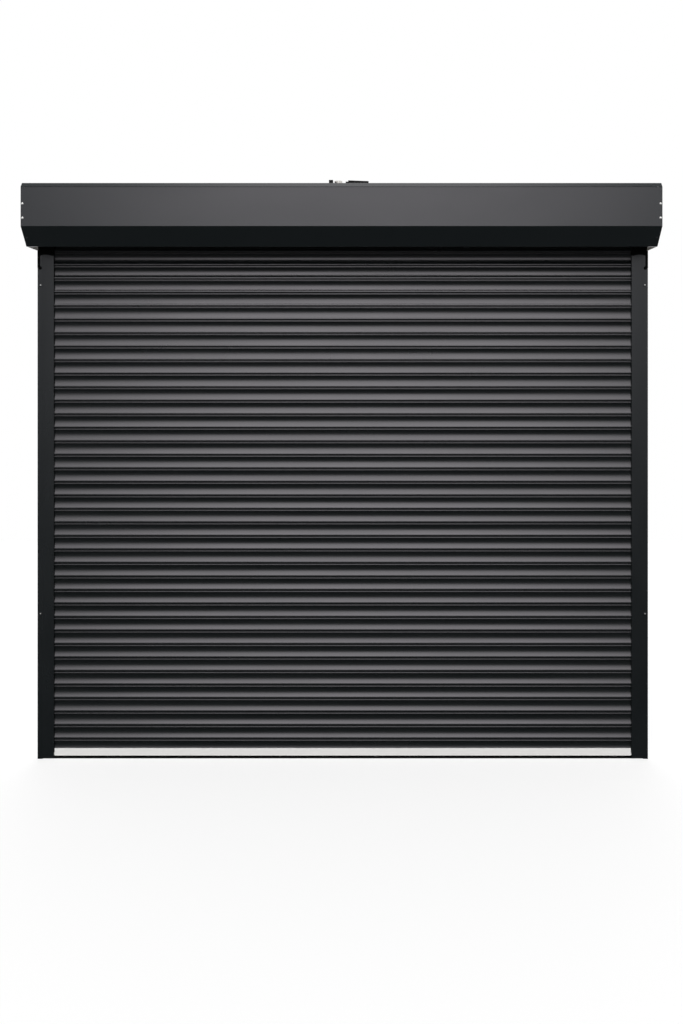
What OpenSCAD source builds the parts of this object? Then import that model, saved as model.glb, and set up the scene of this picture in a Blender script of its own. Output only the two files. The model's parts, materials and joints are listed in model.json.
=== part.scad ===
/* [Opening] */
// Width over both guides and the box
overall_w = 2480; // [1600:10:3000]
// Height of the guides, from the sill to the underside of the box
guide_h = 2065; // [1200:5:2600]

/* [Box] */
// Depth of the box, from the wall to its front
box_d = 240; // [236:1:280]
// Height of the box
box_h = 240; // [236:1:280]
// Size of the 45 degree chamfer under the front
box_chamfer = 70; // [40:1:90]
// Size of the bevel along the top front edge
box_bevel = 17; // [8:1:20]
// Thickness of the box sheet
sheet_t = 1.5; // [1:0.1:2]
// Width of the lip that turns in under the chamfer
lip_w = 20; // [12:1:30]
// Height of the hem at the end of that lip
hem_h = 9; // [5:1:14]
// Depth of the tongue that laps behind the front panel at the seam
tongue_h = 12; // [8:1:20]
// Height of the open seam under the top strip
seam_gap = 1.5; // [1:0.1:3]
// Set-back of the tongue behind that seam
tongue_back = 2.5; // [0:0.5:4]
// Thickness of the end plates
end_plate_t = 3; // [2:0.5:4]
// Width of the end plate's riveting flange
flange_w = 18; // [16:1:24]
// Thickness of that flange
flange_t = 2.5; // [2:0.5:4]
// Length of the end plate's spigot in the guide
spigot_l = 40; // [20:1:80]
// Height of the spigot's root above the guide
spigot_root = 20; // [10:1:30]
// Shank radius of the panel rivets
rivet_r = 2; // [1.6:0.1:2.4]
// Head radius of the panel rivets
rivet_head_r = 5; // [3.5:0.1:6]
// Height of the rivet heads
rivet_head = 1.4; // [1:0.1:2]
// Distance of the rivets from the box's ends
rivet_edge = 6.5; // [6:0.5:10]
// Distance of the chamfer's rivets from the box's ends
chamfer_rivet_edge = 12; // [8:0.5:14]

/* [Guides] */
// Face width of a guide
guide_w = 66; // [64:1:80]
// Depth of a guide
guide_d = 28; // [27:1:34]
// Thickness of the guide's front lip
guide_lip = 3; // [2.6:0.1:4]
// Thickness of the guide's other walls
guide_wall = 2; // [1.8:0.1:2.4]
// Clear width of the slot for the curtain
slot_w = 18; // [17.6:0.1:18.4]
// Depth of that slot
slot_deep = 46; // [44:0.5:47]
// Distance of the seal strips from the mouth of the slot
seal_in = 4; // [3:0.5:8]
// Width of a seal strip
seal_w = 6.6; // [5:0.1:9]
// Depth of the seal strips' groove
seal_set = 1; // [0.8:0.1:1.2]
// How far a seal strip stands into the slot
seal_proud = 1.5; // [1:0.1:1.6]
// Thickness of the foot plugs under the guides
foot_t = 2; // [1:0.5:4]
// Length of the foot plugs in the guides
foot_l = 18; // [10:1:40]

/* [Guide fixings] */
// Radius of the fixing holes in the guide's back
fix_r = 3.5; // [2.5:0.1:4]
// Radius of the access holes in the guide's front
access_r = 5; // [4.2:0.1:6]
// Distance of the fixings from the guide's outer edge
fix_edge = 12; // [10:0.5:13]
// Height of the lower fixings
fix_low = 590; // [200:5:800]
// Spacing of the fixings up the guide
fix_pitch = 1335; // [200:5:1340]
// Head radius of the plugs in the access holes
plug_r = 6.5; // [6.2:0.1:7.5]
// Head thickness of those plugs
plug_t = 1.2; // [0.8:0.1:2]
// Length of their stems
plug_l = 5; // [3:0.5:8]

/* [Guide inlets] */
// Height of the funnel above the guide
inlet_h = 34; // [20:1:45]
// Forward flare of the funnel
inlet_flare = 9; // [4:1:14]
// Wall of the funnel
inlet_t = 2.5; // [2:0.1:3]
// Height of the skirt in front of the guide
skirt_h = 20; // [10:1:30]
// Thickness of the skirt
skirt_t = 1.8; // [1.2:0.1:3]
// Rise of the arch in the skirt's lower edge
skirt_arch = 4; // [3:0.5:9]
// Length of the clip tongue down the guide's outer edge
clip_l = 70; // [40:1:120]
// Width of that tongue
clip_w = 10; // [5:0.5:12]

/* [Curtain] */
// Cover of one slat
slat_pitch = 55; // [50:1:60]
// Thickness of a slat
slat_t = 14; // [13:0.1:14.2]
// Skin of a slat
slat_skin = 1.3; // [0.8:0.1:1.5]
// Depth of the slat's dished front
slat_dish = 5.7; // [4:0.1:6.5]
// Radius of the dished front
dish_r = 45; // [42:1:60]
// Radius of the crowned back
back_r = 60; // [50:1:90]
// Radius of the slat's rolled nose
nose_r = 6; // [5.4:0.1:6.4]
// Gap between a nose and the slat below
slat_reveal = 3; // [2:0.1:4]
// Radius of the bead along the slat's top edge
bead_r = 2.2; // [1.6:0.1:2.6]
// Radius of the bulb that hooks into the slat above
bulb_r = 2.9; // [2.6:0.1:3.2]
// Thickness of the neck under the bulb
neck_t = 2.4; // [1.6:0.1:3]
// Width of the mouth in the nose
mouth_w = 4.8; // [4:0.1:5]
// How far the slats reach into the guides
slat_entry = 38; // [30:0.5:40]
// Height of the top slat's bulb above the guides, at most
slat_rise = 125; // [110:1:160]
// Thickness of the end locks on the slats
lock_t = 3.5; // [2:0.1:4]
// Height of the end locks
lock_h = 32; // [24:1:34]
// Length of an end lock's peg
lock_peg = 20; // [10:1:40]

/* [Bottom rail] */
// Height of the bulb on the bottom rail
rail_joint = 29; // [27:0.5:34]
// Height of the rail's underside, which the seal fills
rail_low = 13; // [10:0.5:15]
// Height of the top of the rail's face
rail_face_top = 43; // [36:0.5:60]
// Thickness of the rail's face
rail_face_t = 2.3; // [1.6:0.1:2.4]
// Depth of the rail's core
rail_core_d = 13; // [11:0.1:14]
// Wall of the rail's core
rail_wall = 1.5; // [1.2:0.1:1.8]
// Width of the groove that holds the seal
groove_w = 7; // [6:0.1:8]
// Width of that groove's mouth
groove_mouth = 4; // [3:0.1:4.6]
// Wall of the rubber seal
seal_wall = 2; // [1.5:0.1:3]
// Thickness of the rail's end plugs
rail_plug_t = 3; // [2:0.1:4]
// Length of those plugs in the rail
rail_plug_l = 14; // [8:1:30]

/* [Roller] */
// Height of the roller's axis above the guides
roller_rise = 125; // [120:1:126]
// Width across the flats of the octagonal tube
tube_af = 70; // [66:1:76]
// Wall of the tube
tube_wall = 1.5; // [1:0.1:2]
// Number of curtain straps
strap_count = 4; // [2:1:8]
// Spacing of the straps
strap_pitch = 600; // [200:10:700]
// Width of a strap
strap_w = 40; // [25:1:60]
// Thickness of a strap
strap_t = 1.2; // [0.8:0.1:2]
// Shank radius of the strap screws
strap_screw_r = 2; // [1.5:0.1:2.5]
// Length of the strap screws
strap_screw_l = 6; // [4:0.5:8]

/* [Idler end] */
// Room between the left end plate and the tube
idler_room = 47; // [44:1:60]
// Length of the idler capsule in the tube
capsule_l = 60; // [40:1:120]
// Thickness of the collars at the tube's ends
collar_t = 3; // [2:0.5:5]
// How far the collars stand out past the flats
collar_out = 4; // [3:0.5:6]
// Radius of the idler pin
pin_r = 6; // [5:0.1:7]
// Pitch radius of the bearing's balls
ball_pitch = 11; // [10.5:0.1:12]
// Radius of the balls
ball_r = 2; // [1.6:0.1:2.2]
// Number of balls
ball_count = 9; // [6:1:10]
// Outer radius of the bearing
bearing_r = 16; // [15.5:0.1:18]
// Width of the bearing
bearing_w = 10; // [8:0.5:12]
// Distance of the bearing from the end plate
bearing_in = 13; // [8:0.5:15]
// Wall of the bearing holder
holder_wall = 5; // [3:0.5:8]
// Side of the square foot on the bearing holder and the motor bracket
foot_side = 84; // [80:1:96]
// Thickness of that foot
foot_plate_t = 4; // [3:0.5:6]
// Spacing of the screws in that foot
screw_pitch = 66; // [62:1:68]
// Shank radius of the foot screws
screw_r = 3; // [2.5:0.1:4]
// Head radius of the foot screws
screw_head_r = 5; // [4.5:0.1:6]
// Head height of the foot screws
screw_head = 4; // [2:0.5:5]

/* [Motor] */
// Room between the right end plate and the tube
motor_room = 41; // [38:1:60]
// Length of the motor in the tube
motor_l = 600; // [400:10:800]
// Radius of the motor
motor_r = 23.5; // [20:0.5:26]
// Radius of the motor's head
head_r = 29; // [27:0.5:31]
// Length of the motor's head
head_l = 24; // [15:1:28]
// Radius of the stub that the bracket holds
stub_r = 14; // [10:0.5:18]
// Length of that stub
stub_l = 8; // [6:0.5:8]
// Wall of the bracket's ring
ring_wall = 6; // [4:0.5:8]
// Length of the limit crown in the tube
crown_l = 20; // [12:1:40]
// Radius of the drive spindle
spindle_r = 8; // [6:0.5:10]
// Depth of the spindle in the motor
spindle_in = 12; // [8:1:30]
// Thickness of the drive wheel
wheel_t = 22; // [14:1:40]
// Gap between the drive wheel and the motor
wheel_gap = 4; // [2:0.5:10]
// Radius of the drive wheel's lightening holes
light_r = 7.5; // [5:0.5:8]
// Radius of the cable grommet's bore
grommet_r = 5; // [3:0.5:7]
// Wall of the cable grommet
grommet_wall = 3; // [2:0.5:5]
// Flange of the cable grommet
grommet_lip = 3; // [2:0.5:5]

/* [Soffit bracket] */
// Left end of the bracket from the middle of the box
bracket_left = -52; // [-120:1:-40]
// Right end of the bracket
bracket_right = 105; // [80:1:160]
// Depth of the bracket
bracket_d = 50; // [44:1:70]
// Height of the bracket
bracket_h = 26; // [24:1:50]
// Thickness of the bracket's plates
bracket_t = 3; // [2:0.5:4]
// Width of the bracket's stop block
stop_w = 16; // [12:1:17]
// Left side of the bracket's arm
arm_left = 14; // [10:1:30]
// Fall of the arm from left to right
arm_fall = 3; // [1:0.5:6]
// Thickness of the arm
arm_t = 12; // [6:1:14]
// Length of the low step at the arm's left end
arm_step = 10; // [4:1:20]
// Drop of that step
step_drop = 5; // [2:0.5:5]
// Radius of the hole in the arm
arm_hole_r = 5.5; // [3:0.1:8]
// Place of the clamp bolt from the middle of the box
bolt_x = -15; // [-15:1:-8]
// Radius of the clamp bolt
bolt_r = 10; // [6:0.5:11]
// Width across the flats of its head and nut
bolt_af = 30; // [24:1:31]
// Height of its head
bolt_head = 20; // [10:1:24]
// Height of its nut
nut_h = 9; // [6:1:12]
// Radius of its washers
washer_r = 18.5; // [18:0.5:20]
// Thickness of its washers
washer_t = 2.5; // [1.5:0.1:3]

/* [Clearances] */
// Gap between pieces that are fixed together
fit_gap = 0.2; // [0.1:0.05:0.3]
// Radial gap where pieces turn in each other
run_gap = 0.05; // [0.02:0.01:0.08]
// Radial gap where a pin or a ring is pressed in
press_gap = 0.02; // [0.01:0.01:0.04]
// Gap around a bulb in its socket
bulb_gap = 0.4; // [0.2:0.05:0.5]

/* [Hidden] */
$fn = 48;
eps = 0.01;
cut_over = 1;

half_w = overall_w / 2;
back_y = (box_d + rivet_head) / 2;
front_y = back_y - box_d;
box_top = guide_h + box_h;
seam_z = box_top - box_bevel;
lip_y = front_y + box_chamfer + lip_w;
plate_x = half_w - end_plate_t;
inset = sheet_t + fit_gap;
tongue_y = front_y + inset + tongue_back;
rivet_x = half_w - rivet_edge;
chamfer_rivet_x = half_w - chamfer_rivet_edge;
rivet_rise = [102, 157];
top_rivet_y = [-60, 60];
back_rivet_rise = [60, 180];
chamfer_rivet_at = 0.42;
head_taper = 0.6;
drill_over = 4;
flange_clear = 10;

guide_y = back_y - guide_d;
mouth_x = half_w - guide_w;
slot_y = guide_y + guide_lip;
fix_x = half_w - fix_edge;
fix_z = [fix_low, fix_low + fix_pitch];
leg_x = mouth_x + slot_deep;
chamber_x = leg_x + guide_wall;
slot_back = slot_y + slot_w;
seal_short = 5;
seal_top = guide_h - seal_short;
clip_pad = 0.7;

slat_y = slot_y + (slot_w - slat_t) / 2;
slat_half = mouth_x + slat_entry;
shoulder = slat_pitch - nose_r - slat_reveal;
dish_start = 2;
slat_mid = (shoulder + dish_start) / 2;
front_c = slat_dish - dish_r;
back_c = slat_t - back_r;
nose_cut = 0.3;
bead_up = 0.2;
bead_u = bead_r + nose_cut / 2;
bead_v = shoulder - bead_r + bead_up;
socket_r = bulb_r + bulb_gap;
slat_count = floor((guide_h + slat_rise - rail_joint) / slat_pitch);
pair_count = ceil((slat_count - 1) / 2);
top_y = slat_y + nose_r;
top_z = rail_joint + slat_count * slat_pitch;
hook_z = rail_joint - nose_r - slat_reveal;

core_y = slat_y + (slat_t - rail_core_d) / 2;
groove_h = hook_z - rail_low - 2 * rail_wall;
face_gap = 1.2;
face_clear = 3;
face_y = slat_y - rail_face_t - face_gap;
face_half = mouth_x - face_clear;
groove_mid = core_y + rail_core_d / 2;
rubber_half = slat_half - rail_plug_l - cut_over;

axis_y = 0;
axis_z = guide_h + roller_rise;
tube_left = -(plate_x - idler_room);
tube_right = plate_x - motor_room;
bore_af = tube_af - 2 * tube_wall;
plug_af = bore_af - 2 * fit_gap;
hook_dy = top_y - axis_y;
hook_dz = top_z - axis_z;
hook_reach = sqrt(hook_dy * hook_dy + hook_dz * hook_dz);
strap_mid = tube_af / 2 + strap_t / 2;
strap_l = sqrt(hook_reach * hook_reach - strap_mid * strap_mid);
strap_turn = atan2(hook_dz, hook_dy) + acos(strap_mid / hook_reach);
strap_end = 2;
strap_tail = tube_af * tan(22.5) / 2 - strap_end;
eye_r = socket_r + strap_t;
strap_x = [for (i = [0 : strap_count - 1]) (i - (strap_count - 1) / 2) * strap_pitch];
strap_screw_x = strap_w / 4;

bearing_x = -(plate_x - bearing_in);
holder_r = bearing_r + holder_wall;
shoulder_l = 6;
shoulder_step = 2;
shoulder_r = pin_r + shoulder_step;
pin_tail = 4;
pin_in = 45;
pin_left = bearing_x - pin_tail;
pin_right = tube_left + pin_in;
race_gap = 0.8;

stub_gap = 2;
head_x = plate_x - stub_l - head_l - stub_gap;
motor_left = head_x - motor_l;
stub_end = plate_x - stub_gap;
spindle_tail = 4;
grommet_y = 40;
grommet_rise = 190;
grommet_z = guide_h + grommet_rise;

bracket_z = box_top;
bolt_tail = 2;
bolt_end = box_top - sheet_t - washer_t - nut_h - bolt_tail;
arm_from = arm_left + arm_step;
arm_drop = atan2(arm_fall, bracket_right - arm_from);
arm_mid = (arm_from + bracket_right) / 2;

function arm_top(x) = bracket_z + bracket_h - tan(arm_drop) * (x - arm_from);
function two(n) = n < 10 ? str("0", n) : str(n);
function pair_first(k) = 2 + 2 * k;
function pair_last(k) = min(pair_first(k) + 1, slat_count);
function pair_name(k) = str("slats_", two(pair_first(k)), "_", two(pair_last(k)));
function slat_z(n) = rail_joint + (n - 1) * slat_pitch;
function front_u(v, wall) = front_c + sqrt(pow(dish_r + wall, 2) - pow(v - slat_mid, 2));
function back_u(v, wall) = back_c + sqrt(pow(back_r - wall, 2) - pow(v - slat_mid, 2));

// A flat profile in y and z, run along x
module run_x(x0, x1) { translate([x0, 0, 0]) rotate([90, 0, 90]) linear_extrude(x1 - x0) children(); }
// A flat profile in x and z, run along y
module run_y(y0, y1) { translate([0, y1, 0]) rotate([90, 0, 0]) linear_extrude(y1 - y0) children(); }
// A flat profile in x and y, run along z
module run_z(z0, z1) { translate([0, 0, z0]) linear_extrude(z1 - z0) children(); }
// A rectangle between two corners
module span(u0, v0, u1, v1) { translate([u0, v0]) square([u1 - u0, v1 - v0]); }
module disc(u, v, r) { translate([u, v]) circle(r); }
module rod_y(x, z, y0, y1, r) { translate([x, y1, z]) rotate([90, 0, 0]) cylinder(r = r, h = y1 - y0); }
module left() { mirror([1, 0, 0]) children(); }
module both() { children(); left() children(); }
// A rod on the roller's axis
module axle(x0, x1, r) { translate([x0, axis_y, axis_z]) rotate([0, 90, 0]) cylinder(r = r, h = x1 - x0); }
// An octagon on the roller's axis, turned so that one flat faces the straps
module octagon(af) {
    translate([axis_y, axis_z]) rotate(strap_turn - 22.5) circle(r = af / 2 / cos(22.5), $fn = 8);
}

// The outline of the box, moved in by a distance
module box_outline(in) {
    slant = in * (sqrt(2) - 1);
    polygon([
        [front_y + in, guide_h + box_chamfer + slant],
        [front_y + box_chamfer + slant, guide_h + in],
        [back_y - in, guide_h + in],
        [back_y - in, box_top - in],
        [front_y + box_bevel + slant, box_top - in],
        [front_y + in, seam_z - slant]]);
}
module box_shell() { difference() { box_outline(0); box_outline(sheet_t); } }

// The rivets of one end, on both panels and their flanges: a shank, and a head where it stands proud
module rivet(depth, r, head) {
    translate([0, 0, -depth]) cylinder(r = r, h = depth);
    if (head > 0) cylinder(r1 = rivet_head_r, r2 = rivet_head_r * head_taper, h = head);
}
module end_rivets(depth, r, head, over) {
    for (rise = rivet_rise)
        translate([rivet_x, front_y - over, guide_h + rise]) rotate([90, 0, 0]) rivet(depth, r, head);
    mid = box_chamfer * chamfer_rivet_at;
    translate([chamfer_rivet_x, front_y + box_chamfer - mid, guide_h + mid]) rotate([135, 0, 0])
        translate([0, 0, over]) rivet(depth, r, head);
    for (y = top_rivet_y) translate([rivet_x, y, box_top + over]) rivet(depth, r, head);
    for (rise = back_rivet_rise)
        translate([rivet_x, back_y + over, guide_h + rise]) rotate([-90, 0, 0]) rivet(depth, r, 0);
}
module rivet_holes() { both() end_rivets(inset + flange_t + drill_over, rivet_r + run_gap, 0, cut_over); }

module end_plate() {
    spigot_x = chamber_x + fit_gap;
    spigot_y = guide_y + guide_wall + fit_gap;
    spigot_back = back_y - guide_wall - fit_gap;
    difference() {
        union() {
            run_x(plate_x, half_w) {
                box_outline(inset);
                span(lip_y + cut_over, guide_h, back_y - inset, guide_h + spigot_root);
            }
            run_x(plate_x - flange_w, plate_x + eps) difference() {
                box_outline(inset);
                box_outline(inset + flange_t);
                span(lip_y - sheet_t - fit_gap, guide_h, back_y, guide_h + inlet_h + flange_clear);
            }
            run_z(guide_h, guide_h + spigot_root) span(spigot_x, spigot_y, plate_x + eps, spigot_back);
            run_z(guide_h - spigot_l, guide_h + eps)
                span(spigot_x, spigot_y, half_w - guide_wall - fit_gap, spigot_back);
        }
        rivet_holes();
    }
}
module end_plate_left() { color("silver") left() foot_drilled() end_plate(); }
module end_plate_right() {
    color("silver") difference() {
        foot_drilled() end_plate();
        translate([plate_x - cut_over, grommet_y, grommet_z]) rotate([0, 90, 0])
            cylinder(r = grommet_r + grommet_wall + run_gap, h = end_plate_t + 2 * cut_over);
    }
}
// The four screw places of a foot, on the inside of the right end plate
module foot_screw_places() {
    for (y = [-1, 1], z = [-1, 1])
        translate([plate_x, axis_y + y * screw_pitch / 2, axis_z + z * screw_pitch / 2])
            rotate([0, 90, 0]) children();
}
module foot_drilled() {
    reach = foot_plate_t + end_plate_t + 2 * cut_over;
    difference() {
        children();
        foot_screw_places() translate([0, 0, -foot_plate_t - cut_over])
            cylinder(r = screw_r + fit_gap, h = reach);
    }
}
module foot_plate() {
    half = foot_side / 2;
    run_x(plate_x - foot_plate_t, plate_x)
        span(axis_y - half, axis_z - half, axis_y + half, axis_z + half);
}
module foot_screws() {
    color("gainsboro") both() foot_screw_places() union() {
        translate([0, 0, -foot_plate_t - screw_head]) cylinder(r = screw_head_r, h = screw_head, $fn = 6);
        translate([0, 0, -foot_plate_t]) cylinder(r = screw_r, h = foot_plate_t + end_plate_t - fit_gap);
    }
}

module front_panel() {
    hem_top = guide_h + hem_h;
    color("#3b3c3e") difference() {
        run_x(-half_w, half_w) {
            intersection() {
                box_shell();
                span(front_y - cut_over, guide_h - cut_over, lip_y, seam_z - seam_gap);
            }
            span(lip_y - sheet_t, guide_h, lip_y, hem_top);
        }
        rivet_holes();
        both() run_x(plate_x - flange_w - fit_gap, half_w + cut_over)
            span(lip_y - sheet_t - cut_over, guide_h + sheet_t, lip_y + cut_over, hem_top + cut_over);
    }
}
module top_panel() {
    tongue_half = plate_x - flange_w - cut_over;
    color("#47484a") difference() {
        union() {
            run_x(-half_w, half_w) difference() {
                intersection() { box_shell(); span(front_y, seam_z, back_y, box_top); }
                span(back_y - sheet_t, seam_z - cut_over, back_y + cut_over, box_top - sheet_t);
            }
            run_x(-tongue_half, tongue_half)
                span(tongue_y, seam_z - tongue_h, tongue_y + sheet_t, seam_z + sheet_t + tongue_back);
        }
        rivet_holes();
        translate([bolt_x, axis_y, box_top]) cylinder(r = bolt_r + fit_gap, h = box_h, center = true);
    }
}
module back_panel() {
    color("#3b3c3e") difference() {
        run_x(-half_w, half_w) span(back_y - sheet_t, guide_h, back_y, box_top - sheet_t - fit_gap);
        rivet_holes();
    }
}
module panel_rivets() { color("gainsboro") both() end_rivets(inset + flange_t, rivet_r, rivet_head, 0); }

// The right guide is one extrusion, drawn as three nodes around the slot: a fixing chamber and two legs
module seal_groove() {
    span(mouth_x + seal_in, slot_y - seal_set, mouth_x + seal_in + seal_w, slot_back + seal_set);
}
module guide_chamber() {
    color("#2d2e30") difference() {
        run_z(foot_t, guide_h) difference() {
            span(leg_x, guide_y, half_w, back_y);
            span(chamber_x, guide_y + guide_wall, half_w - guide_wall, back_y - guide_wall);
        }
        for (z = fix_z) {
            rod_y(fix_x, z, guide_y - cut_over, guide_y + guide_wall + cut_over, access_r);
            rod_y(fix_x, z, back_y - guide_wall - cut_over, back_y + cut_over, fix_r);
        }
    }
}
module guide_front_legs() {
    color("#2d2e30") both() run_z(foot_t, guide_h) difference() {
        span(mouth_x, guide_y, leg_x, slot_y);
        seal_groove();
    }
}
module guide_rear_legs() {
    color("#2d2e30") both() run_z(foot_t, guide_h) difference() {
        span(mouth_x, slot_back, leg_x, back_y);
        span(mouth_x + guide_wall, slot_back + guide_wall, leg_x - guide_wall, back_y - guide_wall);
        seal_groove();
    }
}
module guide_chamber_left() { left() guide_chamber(); }
module guide_chamber_right() { guide_chamber(); }

module guide_seals() {
    set = seal_set - run_gap;
    x0 = mouth_x + seal_in + run_gap;
    x1 = mouth_x + seal_in + seal_w - run_gap;
    color("#161718") both() run_z(foot_t, seal_top) {
        span(x0, slot_y - set, x1, slot_y + seal_proud);
        span(x0, slot_back - seal_proud, x1, slot_back + set);
    }
}

// The right guide's inlet: a funnel over the slot, a skirt over the guide's face, a cover over the end
// plate's spigot and a clip tongue
module guide_inlet() {
    top = guide_h + inlet_h;
    bend = guide_h + inlet_h / 3;
    skirt_back = guide_y - fit_gap;
    skirt_low = guide_h - skirt_h;
    arch_half = guide_w / 2 - clip_w;
    arch_r = (arch_half * arch_half + skirt_arch * skirt_arch) / (2 * skirt_arch);
    color("#101112") union() {
        run_x(mouth_x, leg_x) {
            polygon([[guide_y, guide_h], [slot_y, guide_h], [slot_y, bend], [slot_y - inlet_flare, top],
                     [slot_y - inlet_flare - inlet_t, top], [guide_y, bend]]);
            polygon([[slot_back, guide_h], [slot_back + inlet_t, guide_h], [slot_back + inlet_t, bend],
                     [slot_back + 2 * inlet_t - cut_over, top], [slot_back + inlet_t - cut_over, top],
                     [slot_back, bend]]);
        }
        run_x(leg_x - inlet_t, leg_x) span(guide_y, guide_h, slot_back + inlet_t, bend);
        run_x(mouth_x, leg_x) span(skirt_back - skirt_t, guide_h, slot_y, bend);
        run_y(skirt_back - skirt_t, skirt_back) {
            difference() {
                span(mouth_x, skirt_low, half_w, guide_h - fit_gap);
                disc(mouth_x + guide_w / 2, skirt_low + skirt_arch - arch_r, arch_r);
            }
            span(mouth_x, guide_h - skirt_h / 3, leg_x, guide_h + eps);
            span(leg_x - inlet_t, guide_h - skirt_h / 3, plate_x - fit_gap, guide_h + spigot_root);
            span(half_w - clip_w, guide_h - clip_l, half_w, guide_h - fit_gap);
            disc(half_w - clip_w, guide_h - clip_l, clip_w * clip_pad);
        }
    }
}
module guide_inlet_left() { left() guide_inlet(); }
module guide_inlet_right() { guide_inlet(); }

module guide_hole_plugs() {
    color("#101112") both() for (z = fix_z) {
        rod_y(fix_x, z, guide_y - plug_t, guide_y, plug_r);
        rod_y(fix_x, z, guide_y - eps, guide_y + plug_l, access_r - run_gap);
    }
}
module guide_foot_plugs() {
    color("#161718") both() {
        run_z(0, foot_t) span(chamber_x - guide_wall, guide_y, half_w, back_y);
        run_z(foot_t - eps, foot_t + foot_l)
            span(chamber_x + fit_gap, guide_y + guide_wall + fit_gap,
                 half_w - guide_wall - fit_gap, back_y - guide_wall - fit_gap);
    }
}

// A bracket on the box's top: a base, a stop block and a folded arm with the hole for the hanger
module soffit_bracket() {
    half_d = bracket_d / 2;
    top = bracket_z + bracket_h;
    arm_half = bracket_d / 3;
    hollow_left = arm_left + bracket_t;
    hollow_right = bracket_right - bracket_t;
    color("#131415") difference() {
        union() {
            run_y(axis_y - half_d, axis_y + half_d) {
                span(bracket_left, bracket_z, bracket_right, bracket_z + bracket_t);
                span(bracket_left, bracket_z, bracket_left + stop_w, top);
            }
            run_y(axis_y - arm_half, axis_y + arm_half) difference() {
                polygon([[arm_left, bracket_z], [arm_left, top - step_drop], [arm_from, top - step_drop],
                         [arm_from, top], [bracket_right, top - arm_fall], [bracket_right, bracket_z]]);
                polygon([[hollow_left, bracket_z], [hollow_left, arm_top(hollow_left) - arm_t],
                         [hollow_right, arm_top(hollow_right) - arm_t], [hollow_right, bracket_z]]);
            }
        }
        translate([arm_mid, axis_y, top - arm_fall / 2]) rotate([0, arm_drop, 0])
            cylinder(r = arm_hole_r, h = bracket_h, center = true);
        translate([bolt_x, axis_y, bracket_z]) cylinder(r = bolt_r + fit_gap, h = bracket_h, center = true);
    }
}
// The clamp bolt goes through the bracket's base and the top panel, with a washer on each side
module soffit_bolt() {
    seat = bracket_z + bracket_t + washer_t;
    color("gainsboro") translate([bolt_x, axis_y, 0]) {
        translate([0, 0, seat]) cylinder(r = bolt_af / 2 / cos(30), h = bolt_head, $fn = 6);
        translate([0, 0, bolt_end]) cylinder(r = bolt_r, h = seat + eps - bolt_end);
    }
}
module washer(r, t) { difference() { cylinder(r = r, h = t); hole(t, bolt_r + run_gap); } }
module hole(t, r) { translate([0, 0, -cut_over]) cylinder(r = r, h = t + 2 * cut_over); }
module soffit_nut() {
    under = box_top - sheet_t;
    color("gainsboro") translate([bolt_x, axis_y, 0]) {
        translate([0, 0, bracket_z + bracket_t]) washer(washer_r, washer_t);
        translate([0, 0, under - washer_t]) washer(washer_r, washer_t);
        translate([0, 0, under - washer_t - nut_h - run_gap]) difference() {
            cylinder(r = bolt_af / 2 / cos(30), h = nut_h, $fn = 6);
            hole(nut_h, bolt_r + run_gap);
        }
    }
}

module motor_bracket() {
    color("silver") foot_drilled() difference() {
        union() {
            foot_plate();
            axle(head_x + head_l + fit_gap, plate_x - eps, stub_r + run_gap + ring_wall);
        }
        axle(head_x, plate_x + cut_over, stub_r + run_gap);
    }
}
module motor_head() {
    color("#2a2b2d") union() {
        axle(head_x, head_x + head_l, head_r);
        axle(head_x + head_l - eps, stub_end, stub_r);
    }
}
module motor_tube() {
    color("lightgray") difference() {
        axle(motor_left, head_x, motor_r);
        axle(motor_left - cut_over, motor_left + spindle_in + cut_over, spindle_r + run_gap);
    }
}
module cable_grommet() {
    throat = grommet_r + grommet_wall;
    color("#161718") translate([plate_x, grommet_y, grommet_z]) rotate([0, 90, 0]) difference() {
        union() {
            cylinder(r = throat, h = end_plate_t);
            translate([0, 0, -grommet_lip]) cylinder(r = throat + grommet_lip, h = grommet_lip);
        }
        translate([0, 0, -grommet_lip - cut_over])
            cylinder(r = grommet_r, h = end_plate_t + grommet_lip + 2 * cut_over);
    }
}

// The left end, drawn on the left side itself
module bearing_holder() {
    color("silver") difference() {
        union() {
            left() foot_drilled() foot_plate();
            axle(-plate_x + eps, bearing_x + bearing_w, holder_r);
        }
        axle(bearing_x, bearing_x + bearing_w + cut_over, bearing_r + press_gap);
        axle(-plate_x - cut_over, bearing_x + cut_over, shoulder_r + cut_over);
    }
}
// A bearing ring between two radii, with the ball groove
module race(r0, r1) {
    color("lightgray") translate([bearing_x, axis_y, axis_z]) rotate([0, 90, 0])
        rotate_extrude() difference() {
            span(r0, 0, r1, bearing_w);
            disc(ball_pitch, bearing_w / 2, ball_r + run_gap);
        }
}
module bearing_outer_ring() { race(ball_pitch + ball_r - race_gap, bearing_r); }
module bearing_inner_ring() { race(pin_r + press_gap, ball_pitch - ball_r + race_gap); }
module bearing_balls() {
    color("gainsboro") for (i = [0 : ball_count - 1])
        translate([bearing_x + bearing_w / 2, axis_y, axis_z]) rotate([i * 360 / ball_count, 0, 0])
            translate([0, ball_pitch, 0]) sphere(ball_r);
}
module idler_pin() {
    color("gainsboro") union() {
        axle(pin_left, pin_right, pin_r);
        axle(bearing_x + bearing_w, bearing_x + bearing_w + shoulder_l, shoulder_r);
    }
}
module idler_capsule() {
    color("#2a2b2d") difference() {
        union() {
            run_x(tube_left, tube_left + capsule_l) octagon(plug_af);
            axle(tube_left - collar_t, tube_left, tube_af / 2 + collar_out);
        }
        axle(tube_left - collar_t - cut_over, tube_left + capsule_l + cut_over, pin_r + press_gap);
    }
}

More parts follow.
